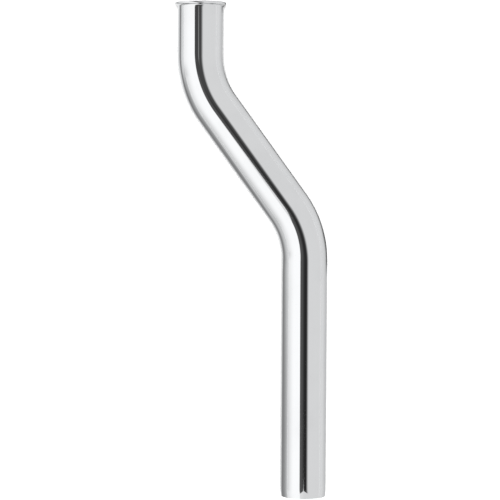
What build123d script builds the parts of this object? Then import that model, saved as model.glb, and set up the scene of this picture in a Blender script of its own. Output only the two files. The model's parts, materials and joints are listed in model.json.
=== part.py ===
"""Offset flush pipe: one brass tube with two equal bends and a flange turned at the valve end.

The pipe lies at rest on the plane z = 0. +Y points out of the flanged end and the plain end
points to -Y, offset to +X. The origin is the bottom centre of the pipe's bounding box.
"""
import math
import os

from build123d import *

# Tube
tube_diameter = 32.0
wall = 1.2

# Run of the pipe, measured on its centre line
overall_length = 350.0
offset = 75.0
bend_angle = 36.0
bend_radius = 64.0
upper_leg = 37.0

# Flange, turned outward at the valve end
flange_overhang = 2.25
flange_thickness = 2.0
flange_root_radius = 1.0
flange_edge_radius = 0.9
mouth_radius = 1.6

# Plain end, rolled in a little so that it enters its seal
nose_length = 6.5
nose_drop = 0.3
rim_radius = 0.3

tube_radius = tube_diameter / 2
bore_radius = tube_radius - wall
flange_radius = tube_radius + flange_overhang

# Small radii never use up the metal that they round
edge_share = 0.45
root_radius = min(flange_root_radius, flange_overhang / 2)
edge_radius = min(flange_edge_radius, edge_share * flange_overhang, edge_share * flange_thickness)
lip_radius = min(mouth_radius, flange_thickness, wall + flange_overhang / 2)
end_radius = min(rim_radius, wall / 4)
end_drop = min(nose_drop, wall / 3)

# The flange is wider than the tube, so the pipe rolls until the flange also touches the ground
rest_roll = math.degrees(math.asin(flange_overhang / offset))
half_width = (flange_radius + offset * math.cos(math.radians(rest_roll)) + tube_radius) / 2
lower_x = half_width - tube_radius
upper_x = lower_x - offset
flange_y = overall_length / 2
end_y = -overall_length / 2


def ring_about(x, y, outline):
    """Revolve an outline, drawn as radius and height, about a leg's axis with height along +Y."""
    return Pos(x, y, tube_radius) * revolve(make_face(outline), Axis.Y)


def flange_outline(depth):
    """Half section of the turned flange, from its seat at height 0 down to the plain tube."""
    seat = (bore_radius + lip_radius, 0)
    lip = (bore_radius, -lip_radius)
    rim_top = (flange_radius - edge_radius, 0)
    rim_side = (flange_radius, -edge_radius)
    rim_low = (flange_radius, edge_radius - flange_thickness)
    under = (flange_radius - edge_radius, -flange_thickness)
    root = (tube_radius + root_radius, -flange_thickness)
    return [
        RadiusArc(lip, seat, lip_radius),
        Line(seat, rim_top),
        RadiusArc(rim_top, rim_side, edge_radius),
        Line(rim_side, rim_low),
        RadiusArc(rim_low, under, edge_radius),
        Line(under, root),
        RadiusArc(root, (tube_radius, -depth), -root_radius),
        Line((tube_radius, -depth), (bore_radius, -depth)),
        Line((bore_radius, -depth), lip),
    ]


def nose_outline():
    """Half section of the plain end, from its cut face at height 0 up to the plain tube."""
    shoulder = (tube_radius, nose_length)
    rim_side = (tube_radius - end_drop, end_radius)
    rim_face = (tube_radius - end_drop - end_radius, 0)
    bore_face = (bore_radius + end_radius, 0)
    bore_side = (bore_radius, end_radius)
    return [
        TangentArc(shoulder, rim_side, tangent=(0, -1)),
        RadiusArc(rim_side, rim_face, end_radius),
        Line(rim_face, bore_face),
        RadiusArc(bore_face, bore_side, end_radius),
        Line(bore_side, (bore_radius, nose_length)),
        Line((bore_radius, nose_length), shoulder),
    ]


def centre_line(start_y, stop_y):
    """Centre line of the plain tube: a straight leg, an S of two equal bends, a straight leg."""
    upper_corner_y = flange_y - upper_leg - bend_radius * math.tan(math.radians(bend_angle / 2))
    lower_corner_y = upper_corner_y - offset / math.tan(math.radians(bend_angle))
    corners = [
        (upper_x, start_y, tube_radius),
        (upper_x, upper_corner_y, tube_radius),
        (lower_x, lower_corner_y, tube_radius),
        (lower_x, stop_y, tube_radius),
    ]
    return FilletPolyline(*corners, radius=bend_radius)


# Plain tube, swept along its centre line from under the flange to the rolled-in end
# The section starts on the side of the tube that will lie on the ground
flange_depth = flange_thickness + root_radius
run = centre_line(flange_y - flange_depth, end_y + nose_length)
ground_side = Vector(0, 0, -1).rotate(Axis.Y, -rest_roll)
section_plane = Plane(origin=run @ 0, x_dir=ground_side, z_dir=run % 0)
pipe = sweep(section_plane * (Circle(tube_radius) - Circle(bore_radius)), path=run)

# Flange and plain end grow out of the same tube
pipe += ring_about(upper_x, flange_y, flange_outline(flange_depth))
pipe += ring_about(lower_x, end_y, nose_outline())

# Lie down: roll about the lower leg, which stays on the ground along its length
lower_axis = Axis((lower_x, 0, tube_radius), (0, 1, 0))
pipe = pipe.rotate(lower_axis, rest_roll)

developed_length = run.length + flange_depth + nose_length
print(f"centre line {developed_length:.1f} mm, roll at rest {rest_roll:.2f} degrees")

os.makedirs("parts", exist_ok=True)
export_step(pipe, "parts/flush_pipe.step")
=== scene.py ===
# %% [markdown]
# # A chromed flush pipe
#
# A flush pipe takes the water of one flush from the valve down to the pan. This one is a single drawn
# brass tube. It has two equal and opposite bends, a flange turned out at the valve end, and a plain
# end that slides into a seal. After bending, the tube is polished and plated with chrome.
#
# The lesson makes the tube as one mesh, gives it a plated finish, and lights it the way small chrome
# goods are photographed. The packed solid comes first, because the main sizes are taken from it.

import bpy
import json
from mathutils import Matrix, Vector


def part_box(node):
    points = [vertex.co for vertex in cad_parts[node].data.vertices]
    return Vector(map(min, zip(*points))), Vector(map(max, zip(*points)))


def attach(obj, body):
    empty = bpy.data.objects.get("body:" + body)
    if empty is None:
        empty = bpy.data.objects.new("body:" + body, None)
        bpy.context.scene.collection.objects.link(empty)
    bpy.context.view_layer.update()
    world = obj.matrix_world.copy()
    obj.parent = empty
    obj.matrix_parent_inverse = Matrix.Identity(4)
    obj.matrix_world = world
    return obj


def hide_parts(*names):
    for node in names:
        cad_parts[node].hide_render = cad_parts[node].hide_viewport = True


MM = 0.001

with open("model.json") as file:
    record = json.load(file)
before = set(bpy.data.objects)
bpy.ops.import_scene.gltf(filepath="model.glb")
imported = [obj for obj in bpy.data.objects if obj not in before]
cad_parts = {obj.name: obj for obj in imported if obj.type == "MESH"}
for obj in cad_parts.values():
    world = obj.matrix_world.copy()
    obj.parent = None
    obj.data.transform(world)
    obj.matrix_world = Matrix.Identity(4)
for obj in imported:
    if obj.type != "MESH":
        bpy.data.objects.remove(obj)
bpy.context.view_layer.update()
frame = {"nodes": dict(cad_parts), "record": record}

# %% [markdown]
# ## Sizes
#
# The packed record names the places where the pipe meets other things. Two of them give the axes of
# the upper and the lower leg, and the radii of the tube and its bore. The flange is the highest and
# the lowest thing on the pipe as it lies, so half the height of the box is the flange's radius.
# The remaining sizes belong to the bends and to small rounded edges, and follow with the node tree.

# %% Read the sizes from the frame
import json
import math

import bmesh
import bpy
from mathutils import Matrix, Vector

mounts = {mount["name"]: mount for mount in frame["record"]["mounts"]}
low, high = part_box("flush_pipe")

upper_axis = Vector(mounts["valve_bore"]["pos_m"])
lower_axis = Vector(mounts["spigot_end"]["pos_m"])
flange_centre = Vector((upper_axis.x, high.y, upper_axis.z))
outlet_centre = Vector((lower_axis.x, low.y, lower_axis.z))
tube_radius = mounts["spigot_end"]["dims"]["r_mm"] * MM
bore_radius = mounts["valve_bore"]["dims"]["r_mm"] * MM
flange_radius = (high.z - low.z) / 2
radii = {"tube": tube_radius, "bore": bore_radius, "flange": flange_radius}
print("diameters, mm:", {name: round(2 * radius / MM, 1) for name, radius in radii.items()})

# %% [markdown]
# ## Sums on node sockets
#
# A node tree written out one node at a time is hard to read. One small class wraps a socket, so that
# a sum such as `1 - mask` adds its own Math node, and a sum on a vector adds a Vector Math node.
# Its `node` method makes every other node: the settings go in first, because they can change which
# sockets a node has, and then the values or links of the sockets. The same class serves the geometry
# tree, the finish and the light.

# %% A socket that can be written into sums
class Wire:
    """One socket of a node tree."""

    def __init__(self, socket):
        self.socket = socket
        self.tree = socket.id_data

    @staticmethod
    def pick(sockets, key):
        """The socket at a number, or the first one in use that has this name."""
        if isinstance(key, int):
            return sockets[key]
        return next(socket for socket in sockets if socket.enabled and socket.name == key)

    @staticmethod
    def node(tree, kind, settings=None, sockets=None):
        """Add a node and return a wire on its first output. A list in the settings adds items."""
        node = tree.nodes.new(kind)
        for name, value in (settings or {}).items():
            if isinstance(value, list):
                for item in value:
                    getattr(node, name).new(*item)
            else:
                setattr(node, name, value)
        for key, value in (sockets or {}).items():
            socket = Wire.pick(node.inputs, key)
            if isinstance(value, Wire):
                tree.links.new(value.socket, socket)
            else:
                socket.default_value = value
        return Wire(next(socket for socket in node.outputs if socket.enabled))

    def out(self, name):
        """Another output of the same node."""
        return Wire(Wire.pick(self.socket.node.outputs, name))

    def sum(self, operation, *terms):
        """A Math node on these terms, or a Vector Math node if one of them is a vector."""
        kinds = [term.socket.type if isinstance(term, Wire) else type(term).__name__ for term in terms]
        sum_node = "ShaderNodeMath"
        if "VECTOR" in kinds or "tuple" in kinds:
            sum_node = "ShaderNodeVectorMath"
            terms = [(term,) * 3 if isinstance(term, (int, float)) else term for term in terms]
        return Wire.node(self.tree, sum_node, {"operation": operation}, dict(enumerate(terms)))

    def __add__(self, other):
        return self.sum("ADD", self, other)

    def __radd__(self, other):
        return self.sum("ADD", other, self)

    def __sub__(self, other):
        return self.sum("SUBTRACT", self, other)

    def __rsub__(self, other):
        return self.sum("SUBTRACT", other, self)

    def __mul__(self, other):
        return self.sum("MULTIPLY", self, other)

    def __rmul__(self, other):
        return self.sum("MULTIPLY", other, self)

    def __truediv__(self, other):
        return self.sum("DIVIDE", self, other)

    def __rtruediv__(self, other):
        return self.sum("DIVIDE", other, self)

    def of(self, operation, *others):
        """A named operation on this wire and any others."""
        return self.sum(operation, self, *others)

    def fade(self, start, stop):
        """0 before start, 1 after stop, and a smooth step between them."""
        sockets = {"Value": self, "From Min": start, "From Max": stop}
        return Wire.node(self.tree, "ShaderNodeMapRange", {"interpolation_type": "SMOOTHSTEP"}, sockets)

    def parts(self):
        """The X, Y and Z of a vector."""
        split = Wire.node(self.tree, "ShaderNodeSeparateXYZ", {}, {"Vector": self})
        return split, split.out("Y"), split.out("Z")

    def mix(self, first, second):
        """A colour that goes from the first to the second as this wire goes from 0 to 1."""
        sockets = {"Factor": self, "A": first, "B": second}
        return Wire.node(self.tree, "ShaderNodeMix", {"data_type": "RGBA"}, sockets)


print("methods of a wire:", ", ".join(name for name in vars(Wire) if not name.startswith("_")))

# %% [markdown]
# ## A tree with named inputs
#
# The pipe's shape follows a rule: one wall section, spun round a centre line that has two bends.
# A curve with a round bevel would give the tube, but not the flange or the rounded rims. So a
# Geometry Nodes tree makes the whole wall, and its inputs are the sizes that a maker would quote.
# Each input is set through its socket's identifier, because a name alone isn't unique.

# %% List the sizes
chromed_brass = bpy.data.materials.new("chromed_brass")
sizes = {
    "Flange centre": flange_centre,
    "Outlet centre": outlet_centre,
    "Bend angle": math.radians(36.0),
    "Bend radius": 64.0 * MM,
    "Upper leg": 37.0 * MM,
    "Tube radius": tube_radius,
    "Bore radius": bore_radius,
    "Flange radius": flange_radius,
    "Flange thickness": 2.0 * MM,
    "Flange root rounding": 1.0 * MM,
    "Flange edge rounding": 0.9 * MM,
    "Mouth rounding": 1.6 * MM,
    "Nose length": 6.5 * MM,
    "Nose drop": 0.3 * MM,
    "Rim rounding": 0.3 * MM,
    "Sides": 128,
    "Longest step": 1.5 * MM,
    "Finish": chromed_brass,
}
print("bends, degrees and mm:", round(math.degrees(sizes["Bend angle"])), round(sizes["Bend radius"] / MM))

# %% Start the tree
socket_kinds = {
    Vector: "NodeSocketVector",
    float: "NodeSocketFloat",
    int: "NodeSocketInt",
    bpy.types.Material: "NodeSocketMaterial",
}

pipe_tree = bpy.data.node_groups.new("bent_tube_with_flange", "GeometryNodeTree")
pipe_tree.interface.new_socket("Pipe", in_out="OUTPUT", socket_type="NodeSocketGeometry")
identifiers = {}
for name, value in sizes.items():
    socket = pipe_tree.interface.new_socket(name, in_out="INPUT", socket_type=socket_kinds[type(value)])
    identifiers[name] = socket.identifier
entry = pipe_tree.nodes.new("NodeGroupInput")
size = {name: Wire(entry.outputs[name]) for name in sizes}
print("inputs of the tree:", len(size))

# %% [markdown]
# ## The centre line
#
# A pipe bender works from four points: the two ends and the two corners where the straight legs would
# cross. The former then rounds each corner to its own radius. Points to Curves joins the four points,
# and Fillet Curve does the rounding, so the bends are true arcs that meet the legs without a kink.

# %% Find the four points
DOWN_THE_PIPE = (0.0, -1.0, 0.0)
NOT_ALONG_THE_PIPE = (1.0, 0.0, 1.0)

sideways = (size["Outlet centre"] - size["Flange centre"]) * NOT_ALONG_THE_PIPE
corner_reach = (size["Bend angle"] / 2).of("TANGENT") * size["Bend radius"]
slope_run = sideways.of("LENGTH") / size["Bend angle"].of("TANGENT")
first_corner = size["Flange centre"] + (size["Upper leg"] + corner_reach) * DOWN_THE_PIPE
second_corner = first_corner + sideways + slope_run * DOWN_THE_PIPE
bender_points = [size["Flange centre"], first_corner, second_corner, size["Outlet centre"]]
print("points for the bender:", len(bender_points))

# %% Bend a line round two corners
ARC_STEPS = 48
ITEMS_IN_A_NEW_SWITCH = 2


def by_number(tree, data_type, choices):
    """For each point, the choice that has the point's number."""
    added = [()] * (len(choices) - ITEMS_IN_A_NEW_SWITCH)
    settings = {"data_type": data_type, "index_switch_items": added}
    numbered = {str(number): choice for number, choice in enumerate(choices)}
    index = Wire.node(tree, "GeometryNodeInputIndex")
    return Wire.node(tree, "GeometryNodeIndexSwitch", settings, {"Index": index, **numbered})


def polyline(tree, corners):
    """A curve with straight runs through these corners."""
    place = by_number(tree, "VECTOR", corners)
    points = Wire.node(tree, "GeometryNodePoints", {}, {"Count": len(corners), "Position": place})
    return Wire.node(tree, "GeometryNodePointsToCurves", {}, {"Points": points})


corner_line = polyline(pipe_tree, bender_points)
bends = {"Curve": corner_line, "Count": ARC_STEPS, "Radius": size["Bend radius"]}
centre_line = Wire.node(pipe_tree, "GeometryNodeFilletCurve", {"mode": "POLY"}, bends)
whole_run = Wire.node(pipe_tree, "GeometryNodeCurveLength", {}, {"Curve": centre_line})
print("nodes after the centre line:", len(pipe_tree.nodes))

# %% [markdown]
# ## The wall's section
#
# Cut the pipe along its length and straighten it, and the wall is one long thin strip. Seven corners
# describe it: the mouth, the two edges of the flange, the flange's root, the start of the rolled-in
# nose, and the two edges of the plain rim. Each has a distance from the axis, a way along it, and a
# rounding of its own, so the same Fillet Curve node gives the generous mouth and the fine rim. Long
# runs are then cut into short steps, so that they can bend.

# %% Draw the wall's section
NOSE_ARC_SHARE = 0.4

nose_arc = NOSE_ARC_SHARE * size["Nose length"] * size["Nose length"] / size["Nose drop"]
nose_start = whole_run - size["Nose length"] / 2
section_corners = [
    (size["Bore radius"], 0.0, size["Mouth rounding"]),
    (size["Flange radius"], 0.0, size["Flange edge rounding"]),
    (size["Flange radius"], size["Flange thickness"], size["Flange edge rounding"]),
    (size["Tube radius"], size["Flange thickness"], size["Flange root rounding"]),
    (size["Tube radius"], nose_start, nose_arc),
    (size["Tube radius"] - size["Nose drop"], whole_run, size["Rim rounding"]),
    (size["Bore radius"], whole_run, size["Rim rounding"]),
]
section_places = [
    Wire.node(pipe_tree, "ShaderNodeCombineXYZ", {}, {"X": radius, "Y": run})
    for radius, run, _ in section_corners
]
strip = polyline(pipe_tree, section_places)
strip = Wire.node(pipe_tree, "GeometryNodeSetSplineCyclic", {}, {"Geometry": strip, "Cyclic": True})
print("corners of the section:", len(section_corners))

# %% Round the section's corners
ROUNDING_STEPS = 10

corner_radius = by_number(pipe_tree, "FLOAT", [rounding for _, _, rounding in section_corners])
edges = {"Curve": strip, "Count": ROUNDING_STEPS, "Radius": corner_radius}
strip = Wire.node(pipe_tree, "GeometryNodeFilletCurve", {"mode": "POLY"}, edges)
print("steps in each rounded corner:", ROUNDING_STEPS)

# %% Cut the long runs of the section into steps
here = Wire.node(pipe_tree, "GeometryNodeInputPosition")
next_point = Wire.node(pipe_tree, "GeometryNodeOffsetPointInCurve", {}, {"Offset": 1}).out("Point Index")
there = Wire.node(
    pipe_tree,
    "GeometryNodeFieldAtIndex",
    {"data_type": "FLOAT_VECTOR", "domain": "POINT"},
    {"Value": here, "Index": next_point},
)
cuts = (here.of("DISTANCE", there) / size["Longest step"]).of("FLOOR")
strip = Wire.node(pipe_tree, "GeometryNodeSubdivideCurve", {}, {"Curve": strip, "Cuts": cuts})
print("longest step along the pipe, mm:", sizes["Longest step"] / MM)

# %% [markdown]
# ## Spin the section and bend the pipe
#
# Curve to Mesh carries the strip round a circle, and the result is a closed skin: outside, flange,
# bore and rim in one. Its points remember two things, the place on the strip and the spoke of the
# circle. Set Position uses both to move each point to the centre line's own place and direction.
# The bends all lie in one plane, so that plane's normal is the same everywhere and nothing twists.
#
# The straight shape is kept as an attribute named unbent. The finish reads it later, because
# polishing marks and plating follow the tube and not the room.

# %% Carry the strip round a circle
def remember(geometry, name):
    """The geometry, with the places of its points kept under a name, and those places."""
    kept = {"domain": "POINT", "capture_items": [("VECTOR", name)]}
    place = Wire.node(pipe_tree, "GeometryNodeInputPosition")
    held = Wire.node(pipe_tree, "GeometryNodeCaptureAttribute", kept, {"Geometry": geometry, name: place})
    return held, held.out(name)


spokes = {"Resolution": size["Sides"], "Radius": 1.0}
circle = Wire.node(pipe_tree, "GeometryNodeCurvePrimitiveCircle", {}, spokes)
strip, on_strip = remember(strip, "Strip")
circle, spoke = remember(circle, "Spoke")
skin = Wire.node(pipe_tree, "GeometryNodeCurveToMesh", {}, {"Curve": circle, "Profile Curve": strip})
print("sides round the pipe:", sizes["Sides"])

# %% Bend the skin along the centre line
radius, run, _ = on_strip.parts()
spoke_across, spoke_up, _ = spoke.parts()
across, upward = radius * spoke_across, radius * spoke_up
unbent = Wire.node(pipe_tree, "ShaderNodeCombineXYZ", {}, {"X": across, "Y": upward, "Z": run})

same_run = {"Curves": centre_line, "Length": run}
on_line = Wire.node(pipe_tree, "GeometryNodeSampleCurve", {"mode": "LENGTH"}, same_run)
bend_normal = sideways.of("CROSS_PRODUCT", DOWN_THE_PIPE).of("NORMALIZE")
side = bend_normal.of("CROSS_PRODUCT", on_line.out("Tangent")).of("NORMALIZE")
bent = on_line.out("Position") + side * across + bend_normal * upward
skin = Wire.node(pipe_tree, "GeometryNodeSetPosition", {}, {"Geometry": skin, "Position": bent})
print("nodes after the bending:", len(pipe_tree.nodes))

# %% Finish the tree
named = {"data_type": "FLOAT_VECTOR", "domain": "POINT"}
straight = {"Geometry": skin, "Name": "unbent", "Value": unbent}
skin = Wire.node(pipe_tree, "GeometryNodeStoreNamedAttribute", named, straight)
skin = Wire.node(pipe_tree, "GeometryNodeSetShadeSmooth", {}, {"Geometry": skin})
skin = Wire.node(pipe_tree, "GeometryNodeRealizeInstances", {}, {"Geometry": skin})
skin = Wire.node(pipe_tree, "GeometryNodeSetMaterial", {}, {"Geometry": skin, "Material": size["Finish"]})
way_out = pipe_tree.nodes.new("NodeGroupOutput")
pipe_tree.links.new(skin.socket, way_out.inputs["Pipe"])
print("nodes in the finished tree:", len(pipe_tree.nodes))

# %% [markdown]
# ## From tree to plain mesh
#
# The export wants meshes, so the tree is evaluated once and its result kept. A closed skin has a
# volume, and its sign says whether the faces point outwards. The volume should also agree with the
# packed solid's, which is a quick test that nothing was lost on the way.

# %% Make the mesh
pipe = bpy.data.objects.new("chromed_flush_pipe", bpy.data.meshes.new("pipe_before_nodes"))
bpy.context.scene.collection.objects.link(pipe)
modifier = pipe.modifiers.new("bent_tube_with_flange", "NODES")
modifier.node_group = pipe_tree
for name, value in sizes.items():
    modifier[identifiers[name]] = list(value) if isinstance(value, Vector) else value

evaluated = pipe.evaluated_get(bpy.context.evaluated_depsgraph_get())
pipe_mesh = bpy.data.meshes.new_from_object(evaluated)
pipe.modifiers.remove(modifier)
pipe.data = pipe_mesh
print("triangles in the pipe:", sum(len(face.vertices) - 2 for face in pipe_mesh.polygons))

# %% Turn the faces outwards
WELD_DISTANCE = 0.0001 * MM
CUBIC_CM = (10.0 * MM) ** 3


def volume_of(mesh):
    """Signed volume of a mesh, in cubic centimetres, and its number of open edges."""
    work = bmesh.new()
    work.from_mesh(mesh)
    bmesh.ops.remove_doubles(work, verts=work.verts, dist=WELD_DISTANCE)
    measured = work.calc_volume(signed=True) / CUBIC_CM
    open_edges = sum(not edge.is_manifold for edge in work.edges)
    work.free()
    return measured, open_edges


if volume_of(pipe_mesh)[0] < 0:
    pipe_mesh.flip_normals()
print("pipe: %.2f cubic cm with %d open edges" % volume_of(pipe_mesh))
print("packed solid: %.2f cubic cm" % volume_of(frame["nodes"]["flush_pipe"].data)[0])

# %% [markdown]
# ## The finish: chrome over brass
#
# Bright chrome is a mirror with a slightly cool grey tint. What keeps it from looking like a computer
# drawing is small: the drawn tube is never perfectly round or straight, so reflections waver a
# little; the polishing wheel leaves very fine lines round the tube; and handling leaves faint smudges
# that only change the gloss and the tint a little. The plating bath reaches a short way into each
# mouth, and beyond that the bore shows dull bare brass. All of this is worked out from the unbent
# attribute. Heights are in metres, as the tube is.

# %% Measure the place on the tube
ACROSS_THE_TUBE = (1.0, 1.0, 0.0)

chromed_brass.use_nodes = True
finish = chromed_brass.node_tree
on_tube = Wire.node(finish, "ShaderNodeAttribute", {"attribute_name": "unbent"}).out("Vector")
_, _, way_along = on_tube.parts()
from_axis = (on_tube * ACROSS_THE_TUBE).of("LENGTH")
pipe_run = max(point.vector.z for point in pipe_mesh.attributes["unbent"].data)
print("length of the straightened pipe, mm:", round(pipe_run / MM, 1))

# %% Where the plating ends inside the bore
PLATED_DEPTH = 12.0 * MM
PLATING_FADE = 9.0 * MM
RAGGED_SCALE = 90.0
RAGGED_DETAIL = 3.0
BORE_EDGE = (0.4 * MM, 0.1 * MM)


def noise(tree, place, detail, scale=1.0):
    """Soft noise from 0 to 1, with about `scale` blotches to each unit of the place."""
    sockets = {"Vector": place, "Scale": scale, "Detail": detail}
    return Wire.node(tree, "ShaderNodeTexNoise", {}, sockets)


into_the_pipe = way_along.of("MINIMUM", pipe_run - way_along)
ragged = noise(finish, on_tube, RAGGED_DETAIL, RAGGED_SCALE) * PLATING_FADE
inside = from_axis.fade(bore_radius + BORE_EDGE[0], bore_radius + BORE_EDGE[1])
bare = inside * (into_the_pipe + ragged).fade(PLATED_DEPTH, PLATED_DEPTH + PLATING_FADE)
print("no plating in the bore beyond, mm:", round((PLATED_DEPTH + PLATING_FADE) / MM))

# %% Smudges and polishing lines
SMUDGE_SCALE = 38.0
SMUDGE_DETAIL = 4.0
SMUDGE_EDGE = (0.42, 0.72)
LINE_SCALE = (40.0, 40.0, 5200.0)
LINE_DETAIL = 2.0

smudge = noise(finish, on_tube, SMUDGE_DETAIL, SMUDGE_SCALE).fade(*SMUDGE_EDGE)
lines = noise(finish, on_tube * LINE_SCALE, LINE_DETAIL)
print("polishing lines to the metre:", round(LINE_SCALE[2]))

# %% Waviness of the tube and the drawn skin of the brass
WAVE_SCALE = (55.0, 55.0, 22.0)
WAVE_DETAIL = 1.0
SKIN_SCALE = (700.0, 700.0, 60.0)
SKIN_DETAIL = 3.0
WAVE_HEIGHT = 0.011 * MM
LINE_HEIGHT = 0.00025 * MM
SKIN_HEIGHT = 0.02 * MM

waves = noise(finish, on_tube * WAVE_SCALE, WAVE_DETAIL)
drawn_skin = noise(finish, on_tube * SKIN_SCALE, SKIN_DETAIL)
relief = waves * WAVE_HEIGHT + lines * LINE_HEIGHT + bare * drawn_skin * SKIN_HEIGHT
bump = Wire.node(finish, "ShaderNodeBump", {}, {"Strength": 1.0, "Distance": 1.0, "Height": relief})
print("waviness of the tube, thousandths of a mm:", round(1000 * WAVE_HEIGHT / MM))

# %% Mix the colours
CHROME = (0.665, 0.672, 0.680, 1.0)
CHROME_SMUDGED = (0.640, 0.647, 0.655, 1.0)
BRASS = (0.86, 0.66, 0.38, 1.0)
BRASS_TARNISHED = (0.66, 0.49, 0.28, 1.0)
TARNISH_EDGE = (0.35, 0.75)

chrome_colour = smudge.mix(CHROME, CHROME_SMUDGED)
brass_colour = drawn_skin.fade(*TARNISH_EDGE).mix(BRASS, BRASS_TARNISHED)
colour = bare.mix(chrome_colour, brass_colour)
print("chrome:", CHROME[:3], "brass:", BRASS[:3])

# %% Put the finish together
CHROME_ROUGHNESS = 0.03
SMUDGE_ADDS = 0.035
BRASS_ADDS = 0.37
DRAWN_SKIN_ADDS = 0.15

roughness = CHROME_ROUGHNESS + smudge * SMUDGE_ADDS + bare * (BRASS_ADDS + drawn_skin * DRAWN_SKIN_ADDS)
shader = finish.nodes["Principled BSDF"]
shader.inputs["Metallic"].default_value = 1.0
finish.links.new(colour.socket, shader.inputs["Base Color"])
finish.links.new(roughness.socket, shader.inputs["Roughness"])
finish.links.new(bump.socket, shader.inputs["Normal"])
print("nodes in the finish:", len(finish.nodes))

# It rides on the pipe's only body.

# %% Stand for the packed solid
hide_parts("flush_pipe")
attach(pipe, "root")
print(pipe.name, "stands for flush_pipe")

# %% [markdown]
# ## The floor
#
# A sheet of matt paper carries the pipe. Paper is never one flat white: its fibres make it very
# slightly cloudy, and that is enough to keep the shadow under the pipe from looking cut out. The
# paper is pale grey and strongly lit, so that it photographs white and its shadows stay light.

# %% Make the paper
PAPER_BRIGHT = (0.280, 0.280, 0.280, 1.0)
PAPER_CLOUDY = (0.275, 0.276, 0.277, 1.0)
PAPER_CLOUD_SCALE = 60.0
PAPER_CLOUD_DETAIL = 5.0
PAPER_ROUGHNESS = 0.85
PAPER_SHINE = 0.1

paper = bpy.data.materials.new("matt_paper")
paper.use_nodes = True
fibres = paper.node_tree
paper_place = Wire.node(fibres, "ShaderNodeTexCoord").out("Object")
cloud = noise(fibres, paper_place, PAPER_CLOUD_DETAIL, PAPER_CLOUD_SCALE)
paper_shader = fibres.nodes["Principled BSDF"]
paper_shader.inputs["Roughness"].default_value = PAPER_ROUGHNESS
paper_shader.inputs["Specular IOR Level"].default_value = PAPER_SHINE
fibres.links.new(cloud.mix(PAPER_BRIGHT, PAPER_CLOUDY).socket, paper_shader.inputs["Base Color"])
print("nodes in the paper:", len(fibres.nodes))

# %% Lay the paper
FLOOR_HALF_SIDE = 20.0


def flat_sheet(name, half_side, height, material):
    """A flat square that faces up."""
    mesh = bpy.data.meshes.new(name)
    sheet = bmesh.new()
    signs = [(-1, -1), (1, -1), (1, 1), (-1, 1)]
    sheet.faces.new([sheet.verts.new((x * half_side, y * half_side, height)) for x, y in signs])
    sheet.to_mesh(mesh)
    sheet.free()
    mesh.materials.append(material)
    thing = bpy.data.objects.new(name, mesh)
    bpy.context.scene.collection.objects.link(thing)
    return thing


flat_sheet("paper_floor", FLOOR_HALF_SIDE, low.z, paper)
print("floor at height, mm:", round(low.z / MM, 3))

# %% [markdown]
# ## Light for a mirror
#
# A chromed tube shows its surroundings and hardly anything else, so the surroundings are the light.
# Small chrome goods are shot under two large white panels with a dark gap between them: the gap is
# the black stripe that runs the length of the pipe and makes it look like metal. Panels could be
# modelled, but their edges are easier to set as numbers. So the panels and the gap are painted on
# the sky, as if on a flat ceiling: a direction's X and Y, divided by its height, are a place on that
# ceiling. The gap is turned away from the pipe's length, so that the stripe lies well both on the
# two legs and on the slant between them. Far in front it runs along the pipe.

# %% Measure the place on the ceiling
LOWEST_HEIGHT = 0.02
GAP_ACROSS = (0.717, 0.46)
GAP_STRAIGHT_FROM = -0.21

studio = bpy.data.worlds.new("two_panels_and_a_gap")
bpy.context.scene.world = studio
studio.use_nodes = True
sky = studio.node_tree
direction = Wire.node(sky, "ShaderNodeTexCoord").out("Generated")
to_right, to_back, height = direction.parts()
ceiling_scale = 1 / height.of("MAXIMUM", LOWEST_HEIGHT)
ceiling_x, ceiling_y = to_right * ceiling_scale, to_back * ceiling_scale
across_gap = ceiling_x * GAP_ACROSS[0] + ceiling_y.of("MAXIMUM", GAP_STRAIGHT_FROM) * GAP_ACROSS[1]
gap_turn = math.atan2(GAP_ACROSS[1], GAP_ACROSS[0])
print("the gap turns from the pipe by, degrees:", round(math.degrees(gap_turn)))

# %% [markdown]
# ## The panels
#
# The left panel is the brighter one. It falls off towards the horizon, which rounds the tube, but
# less behind the pipe and where the two bends look, because there the white band is broad. The right
# panel is one even light grey.

# %% Paint the two panels
GAP_LEFT_EDGE = (-0.312, -0.354)
GAP_RIGHT_EDGE = (0.08, 0.265)
RIGHT_LIGHT = 0.975
LEFT_HIGH = 1.45
LEFT_LOW = 0.68
LEFT_LOW_BEHIND = 1.20
LEFT_LIFT_AT_BENDS = 0.22
LEFT_CLIMB = (-0.35, 0.65)
TOWARDS_BACK = (-0.15, 0.0)
BENDS_LOOK_FROM = (-0.58, -0.40)
BENDS_LOOK_UNTIL = (-0.14, -0.19)

left = across_gap.fade(*GAP_LEFT_EDGE)
right = across_gap.fade(*GAP_RIGHT_EDGE)
at_bends = to_back.fade(*BENDS_LOOK_FROM) * to_back.fade(*BENDS_LOOK_UNTIL) * LEFT_LIFT_AT_BENDS
left_low = LEFT_LOW + at_bends + to_back.fade(*TOWARDS_BACK) * (LEFT_LOW_BEHIND - LEFT_LOW)
left_light = left_low + height.fade(*LEFT_CLIMB) * (LEFT_HIGH - left_low)
gap_width = math.atan(GAP_RIGHT_EDGE[0]) - math.atan(GAP_LEFT_EDGE[0])
print("width of the dark gap, degrees:", round(math.degrees(gap_width)))

# %% [markdown]
# ## Inside the gap
#
# A gap between real panels is not one flat black. In front of the pipe it is dusky at its left edge,
# and behind the pipe it is even. A thin light seam behind draws the fine line in the stripe of the
# upper leg. In front a light wedge splits the gap and closes it, so the stripe runs out at the plain
# end. Lower in front the gap is dark again, so that the pipe also looks like chrome from behind.

# %% Shade the gap
GAP_DARK = 0.028
GAP_DUSKY = 0.122
GAP_BEHIND = 0.082
GAP_DUSK = (0.0, -0.24)
GAP_EVEN_FROM = (-0.05, 0.0)

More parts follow.
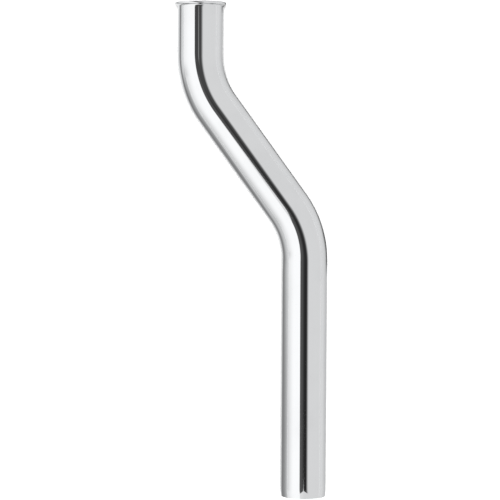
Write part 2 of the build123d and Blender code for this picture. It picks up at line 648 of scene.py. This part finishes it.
gap_in_front = GAP_DARK + across_gap.fade(*GAP_DUSK) * (GAP_DUSKY - GAP_DARK)
gap_dark = gap_in_front + ceiling_y.fade(*GAP_EVEN_FROM) * (GAP_BEHIND - gap_in_front)
print("light in the gap, from", GAP_DARK, "to", GAP_DUSKY)

# %% Draw the seam and the wedge
SEAM = -0.06
SEAM_LEAN = 0.043
SEAM_WIDTH = 0.04
SEAM_FROM = (0.03, 0.05)
SEAM_LIGHT = 0.30
WEDGE_FROM = -0.1445
WEDGE_OPENING = 3.0
WEDGE_EDGE = (0.0, -0.03)
WEDGE_UNTIL = (-1.2, -0.8)
WEDGE_LIGHT = 0.95

from_seam = (across_gap - ceiling_y * SEAM_LEAN - SEAM).of("ABSOLUTE")
seam = from_seam.fade(SEAM_WIDTH, 0.0) * ceiling_y.fade(*SEAM_FROM) * SEAM_LIGHT
wedge_width = (WEDGE_FROM - ceiling_y).of("MAXIMUM", 0.0) * WEDGE_OPENING
wedge = (from_seam - wedge_width).fade(*WEDGE_EDGE) * ceiling_y.fade(*WEDGE_UNTIL) * WEDGE_LIGHT
print("the wedge starts in front at, degrees:", round(math.degrees(math.atan(-WEDGE_FROM)), 1))

# %% [markdown]
# ## The sky as a whole
#
# Left panel, right panel and gap add up to the sky that reflections see. Seen directly, the sky is
# plain and pale, as a paper backdrop is.

# %% Put the sky together
BACKDROP = (0.93, 0.93, 0.93, 1.0)

gap_light = gap_dark + seam + wedge
brightness = left * left_light + right * RIGHT_LIGHT + (1 - left) * (1 - right) * gap_light
seen_directly = Wire.node(sky, "ShaderNodeLightPath")
sky_colour = seen_directly.mix(brightness, BACKDROP)
sky.links.new(sky_colour.socket, sky.nodes["Background"].inputs["Color"])
print("nodes in the sky:", len(sky.nodes))

# %% [markdown]
# ## A lamp for the paper
#
# A soft overhead lamp brightens the paper and gives the pipe its shadow. It is kept out of the
# mirror, where it would fill the dark gap.

# %% Hang the lamp
LAMP_STRENGTH = 13.0
LAMP_SPREAD = math.radians(12.0)

lamp_data = bpy.data.lights.new("overhead_lamp", "SUN")
lamp_data.energy = LAMP_STRENGTH
lamp_data.angle = LAMP_SPREAD
lamp = bpy.data.objects.new("overhead_lamp", lamp_data)
lamp.visible_glossy = False
lamp.visible_camera = False
bpy.context.scene.collection.objects.link(lamp)
print("lamp spread, degrees:", round(math.degrees(LAMP_SPREAD)))

# %% [markdown]
# ## A card of painted shade for the flanks
#
# Photographers lay dark card beside chrome. This card covers the paper around the pipe, where only
# reflections see it, and its density is painted shade: the pipe's own soft shadow on the paper and
# dark lines beside it, as the mirror would show them. They draw the dark lines along the pipe's edges,
# without which a bright tube melts into bright paper. The distance from the pipe is measured sideways
# from a line that follows the two legs and the slant.

# %% Measure the distance from the pipe
offset = math.hypot(outlet_centre.x - flange_centre.x, outlet_centre.z - flange_centre.z)
reach = sizes["Bend radius"] * math.tan(sizes["Bend angle"] / 2)
first_corner_y = flange_centre.y - sizes["Upper leg"] - reach
second_corner_y = first_corner_y - offset / math.tan(sizes["Bend angle"])

# A material of painted shade: the pipe's shadow on the paper, as reflections see it.
painted_shadow_card = bpy.data.materials.new("painted_shadow_card")
painted_shadow_card.use_nodes = True
card_tree = painted_shadow_card.node_tree
card_x, card_y, _ = Wire.node(card_tree, "ShaderNodeTexCoord").out("Object").parts()
slant = {
    "Value": card_y,
    "From Min": second_corner_y,
    "From Max": first_corner_y,
    "To Min": outlet_centre.x,
    "To Max": flange_centre.x,
}
from_pipe = card_x - Wire.node(card_tree, "ShaderNodeMapRange", {}, slant)
print("the slant runs between, mm:", round(first_corner_y / MM), "and", round(second_corner_y / MM))

# %% [markdown]
# ## The card on the left
#
# The left of the card is painted shade: the pipe's soft shadow on the paper, as the mirror shows it.
# Close to the pipe the card is clear. It is densest a few centimetres out, and wears off from there:
# slowly beside the plain end, sooner beside the lower bend, and quickly behind. Past the flange it is
# almost gone. In front everything lies closer to the pipe, so the dark line sits nearer to its edge.

# %% Measure the left of the card
IN_FRONT = (20.0 * MM, -20.0 * MM)
SQUEEZE_IN_FRONT = 0.55
BEHIND = (60.0 * MM, 120.0 * MM)
STEP_BEHIND = 8.0 * MM

squeeze = 1 + card_y.fade(*IN_FRONT) * SQUEEZE_IN_FRONT
behind = card_y.fade(*BEHIND)
to_left = -1 * from_pipe * squeeze - behind * STEP_BEHIND
print("in front the card is narrower by a factor of", 1 + SQUEEZE_IN_FRONT)

# %% Wear off the left of the card
LEFT_REACH = 230.0 * MM
LEFT_REACH_AT_BEND = 66.0 * MM
LEFT_REACH_BEHIND = 14.0 * MM
BEND_FROM = (-165.0 * MM, -10.0 * MM)
BEND_UNTIL = (18.0 * MM, -14.0 * MM)

at_bend = card_y.fade(*BEND_FROM) * card_y.fade(*BEND_UNTIL)
left_reach = LEFT_REACH + at_bend * (LEFT_REACH_AT_BEND - LEFT_REACH)
left_reach = left_reach + behind * (LEFT_REACH_BEHIND - LEFT_REACH)
print("half the density is gone after, mm:", round(LEFT_REACH_BEHIND / MM), "to", round(LEFT_REACH / MM))

# %% Shade the left of the card
LEFT_RISE = (18.0 * MM, 54.0 * MM)
LEFT_DENSITY = 0.78
LEFT_DENSITY_BEHIND = 0.85
PAST_FLANGE = (176.0 * MM, 184.0 * MM)
PAST_FLANGE_LOSS = 0.8

left_density = LEFT_DENSITY + behind * (LEFT_DENSITY_BEHIND - LEFT_DENSITY)
left_loss = 1 - card_y.fade(*PAST_FLANGE) * PAST_FLANGE_LOSS
past_the_rise = (to_left - LEFT_RISE[1]).of("MAXIMUM", 0.0)
# left_shade is painted shadow: the pipe's soft shadow on the paper beside its left edge.
left_shade = to_left.fade(*LEFT_RISE) * left_density * left_loss / (1 + past_the_rise / left_reach)
print("density on the left, at most:", LEFT_DENSITY_BEHIND)

# %% [markdown]
# ## The card on the right
#
# The right edge of the pipe gets lighter painted shade. A faint band of painted shadow lies close
# beside it, with a darker painted line along the slant and beside the flange.

# %% Shade the right of the card
RIGHT_BASE = 0.09
RIGHT_DENSITY = 0.28
RIGHT_DARKEST = 26.0 * MM
RIGHT_REACH = 22.0 * MM
SLANT_LINE_FROM = (-22.0 * MM, -6.0 * MM)
SLANT_LINE_UNTIL = (140.0 * MM, 115.0 * MM)
FLANGE_LINE_FROM = (167.0 * MM, 176.0 * MM)
LINE_EDGE = (42.0 * MM, 27.0 * MM)
LINE_DENSITY = 0.50

past_the_darkest = (from_pipe - RIGHT_DARKEST) / RIGHT_REACH
on_slant = card_y.fade(*SLANT_LINE_FROM) * card_y.fade(*SLANT_LINE_UNTIL)
line = (on_slant + card_y.fade(*FLANGE_LINE_FROM)) * from_pipe.fade(*LINE_EDGE) * LINE_DENSITY
# right_shade is painted shadow close to the pipe, plus painted dark lines at the slant and flange.
right_shade = RIGHT_BASE + RIGHT_DENSITY / (1 + past_the_darkest * past_the_darkest) + line
print("density on the right, at most:", round(RIGHT_BASE + RIGHT_DENSITY + LINE_DENSITY, 2))

# %% [markdown]
# ## The card as a whole
#
# The two sides meet under the pipe, where hardly anything sees them. A little painted shade everywhere
# tones down the paper in the mirror, because the lamp makes it very bright.

# %% Put the card together
# The card's near-black colour is the painted shade that only reflections see.
PAINTED_SHADOW_GREY = (0.01, 0.01, 0.01, 1.0)
CARD_ROUGHNESS = 0.9
EVEN_DENSITY = 0.21
MIDDLE = (-2.0 * MM, 2.0 * MM)

shade = left_shade + from_pipe.fade(*MIDDLE) * (right_shade - left_shade)
shade = EVEN_DENSITY + (1 - EVEN_DENSITY) * shade
card_shader = card_tree.nodes["Principled BSDF"]
card_shader.inputs["Base Color"].default_value = PAINTED_SHADOW_GREY
card_shader.inputs["Roughness"].default_value = CARD_ROUGHNESS
card_shader.inputs["Specular IOR Level"].default_value = 0.0
card_tree.links.new(shade.socket, card_shader.inputs["Alpha"])
print("nodes in the card:", len(card_tree.nodes))

# %% Lay the card
CARD_HALF_SIDE = 2.0
CARD_HEIGHT = 0.1 * MM

# This sheet carries the painted shadow. Camera, diffuse and shadow rays pass it by.
card = flat_sheet("painted_shadow_card", CARD_HALF_SIDE, CARD_HEIGHT, painted_shadow_card)
card.visible_camera = False
card.visible_diffuse = False
card.visible_shadow = False
print("side of the card, m:", 2 * CARD_HALF_SIDE)

# %% [markdown]
# ## The camera
#
# The pipe lies flat and is seen from almost straight above, with the flanged end at the top. A long
# lens from a metre and a half away keeps the two legs equally wide, as in a catalogue picture. The
# elevation is just over 90 degrees, because the camera stands a little behind the pipe's middle.

# %% Set up the camera
TARGET = Vector((-0.3, 0.25, 18.0)) * MM
CAMERA_DISTANCE = 1504.5 * MM
CAMERA_ELEVATION = math.radians(92.154)
CAMERA_ROLL = math.radians(0.35)
LENS_MM = 152.74
SENSOR_MM = 36.0

camera_data = bpy.data.cameras.new("catalogue_camera")
camera_data.lens = LENS_MM
camera_data.sensor_width = SENSOR_MM
camera = bpy.data.objects.new("catalogue_camera", camera_data)
tilt = Matrix.Rotation(math.pi / 2 - CAMERA_ELEVATION, 4, "X")
roll = Matrix.Rotation(CAMERA_ROLL, 4, "Z")
back_off = Matrix.Translation((0.0, 0.0, CAMERA_DISTANCE))
camera.matrix_world = Matrix.Translation(TARGET) @ tilt @ roll @ back_off
bpy.context.scene.collection.objects.link(camera)
bpy.context.scene.camera = camera
bpy.context.scene.view_settings.view_transform = "Standard"
print("camera at, mm:", [round(side / MM, 1) for side in camera.matrix_world.translation])

# %% [markdown]
# The mesh must not be larger than the packed solid.
